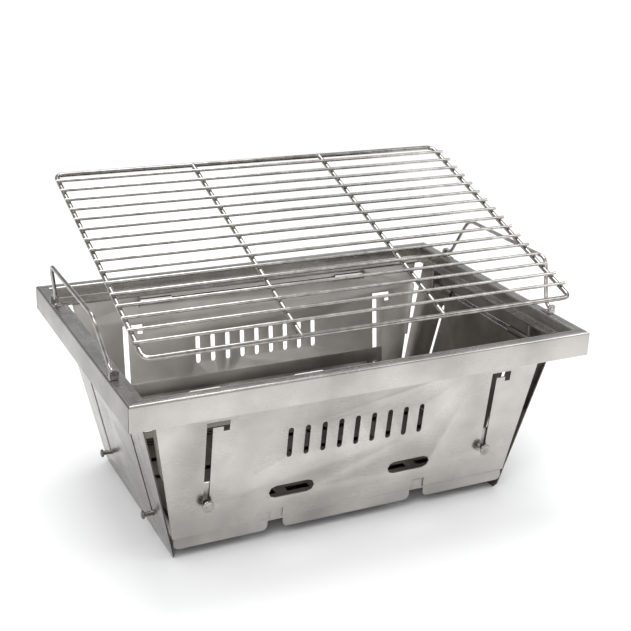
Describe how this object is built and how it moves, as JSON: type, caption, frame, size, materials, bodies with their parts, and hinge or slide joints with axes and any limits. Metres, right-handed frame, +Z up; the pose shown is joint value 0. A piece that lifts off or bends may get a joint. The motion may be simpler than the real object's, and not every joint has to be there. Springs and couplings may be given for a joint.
{
  "type": "folding tabletop charcoal grill",
  "caption": "Folding tabletop charcoal grill in bare steel, with leaning slotted walls, wire bails and a wire cooking grate held lifted and tilted.",
  "frame": {"origin": "on the ground under the middle of the grill", "axes": "+X along the long side, +Y from the front wall to the back wall, +Z up"},
  "size_m": [0.358, 0.236, 0.2339],
  "materials": {
    "sheet_steel": "brushed",
    "wire_steel": "bright",
    "stud_steel": "satin"
  },
  "bodies": {
    "frame_body": {"top_frame": "sheet_steel", "left_side_wall": "sheet_steel", "left_floor_pin_1": "stud_steel", "left_floor_pin_2": "stud_steel", "left_bail_lug_1": "sheet_steel", "left_bail_lug_2": "sheet_steel", "right_side_wall": "sheet_steel", "right_floor_pin_1": "stud_steel", "right_floor_pin_2": "stud_steel", "right_bail_lug_1": "sheet_steel", "right_bail_lug_2": "sheet_steel", "front_hinge_pin": "wire_steel", "front_hinge_lug_1": "sheet_steel", "front_hinge_lug_2": "sheet_steel", "back_hinge_pin": "wire_steel", "back_hinge_lug_1": "sheet_steel", "back_hinge_lug_2": "sheet_steel", "left_hinge_pin": "wire_steel", "left_hinge_lug_1": "sheet_steel", "left_hinge_lug_2": "sheet_steel", "right_hinge_pin": "wire_steel", "right_hinge_lug_1": "sheet_steel", "right_hinge_lug_2": "sheet_steel", "floor_plate": "sheet_steel"},
    "front_wall_body": {"front_wall": "sheet_steel"},
    "front_bar_body": {"front_support_bar": "sheet_steel", "front_support_stud_1": "stud_steel", "front_support_stud_2": "stud_steel"},
    "back_wall_body": {"back_wall": "sheet_steel"},
    "back_bar_body": {"back_support_bar": "sheet_steel", "back_support_stud_1": "stud_steel", "back_support_stud_2": "stud_steel"},
    "left_bail_body": {"left_bail": "wire_steel"},
    "right_bail_body": {"right_bail": "wire_steel"},
    "tray_body": {"charcoal_tray": "sheet_steel"},
    "grate_body": {"grate_rim": "wire_steel", "grate_crossbar_1": "wire_steel", "grate_crossbar_2": "wire_steel", "grate_rod_01": "wire_steel", "grate_rod_02": "wire_steel", "grate_rod_03": "wire_steel", "grate_rod_04": "wire_steel", "grate_rod_05": "wire_steel", "grate_rod_06": "wire_steel", "grate_rod_07": "wire_steel", "grate_rod_08": "wire_steel", "grate_rod_09": "wire_steel", "grate_rod_10": "wire_steel", "grate_rod_11": "wire_steel", "grate_rod_12": "wire_steel", "grate_rod_13": "wire_steel", "grate_rod_14": "wire_steel", "grate_rod_15": "wire_steel", "grate_rod_16": "wire_steel"}
  },
  "joints": [
    {"name": "front_wall_fold", "type": "hinge", "parent": "frame_body", "child": "front_wall_body", "pos_m": [0, -0.09446, 0.12], "axis": [1, 0, 0], "range_deg": [0, 83]},
    {"name": "back_wall_fold", "type": "hinge", "parent": "frame_body", "child": "back_wall_body", "pos_m": [0, 0.09506, 0.125], "axis": [-1, 0, 0], "range_deg": [0, 83]},
    {"name": "front_bar_slide", "type": "slide", "parent": "front_wall_body", "child": "front_bar_body", "axis": [0, -0.1196, 0.9928], "range_m": [0, 0.055]},
    {"name": "back_bar_slide", "type": "slide", "parent": "back_wall_body", "child": "back_bar_body", "axis": [0, 0.1196, 0.9928], "range_m": [0, 0.055]},
    {"name": "left_bail_swing", "type": "hinge", "parent": "frame_body", "child": "left_bail_body", "pos_m": [-0.171, 0, 0.1439], "axis": [0, 1, 0], "range_deg": [0, 100]},
    {"name": "right_bail_swing", "type": "hinge", "parent": "frame_body", "child": "right_bail_body", "pos_m": [0.171, 0, 0.1439], "axis": [0, -1, 0], "range_deg": [0, 100]},
    {"name": "charcoal_tray_lift", "type": "slide", "parent": "frame_body", "child": "tray_body", "axis": [0, 0, 1], "range_m": [0, 0.085]},
    {"name": "cooking_grate_lift", "type": "hinge", "parent": "frame_body", "child": "grate_body", "pos_m": [0, -0.20648, 0.14768], "axis": [1, 0, 0], "range_deg": [-18.2, 0]}
  ]
}
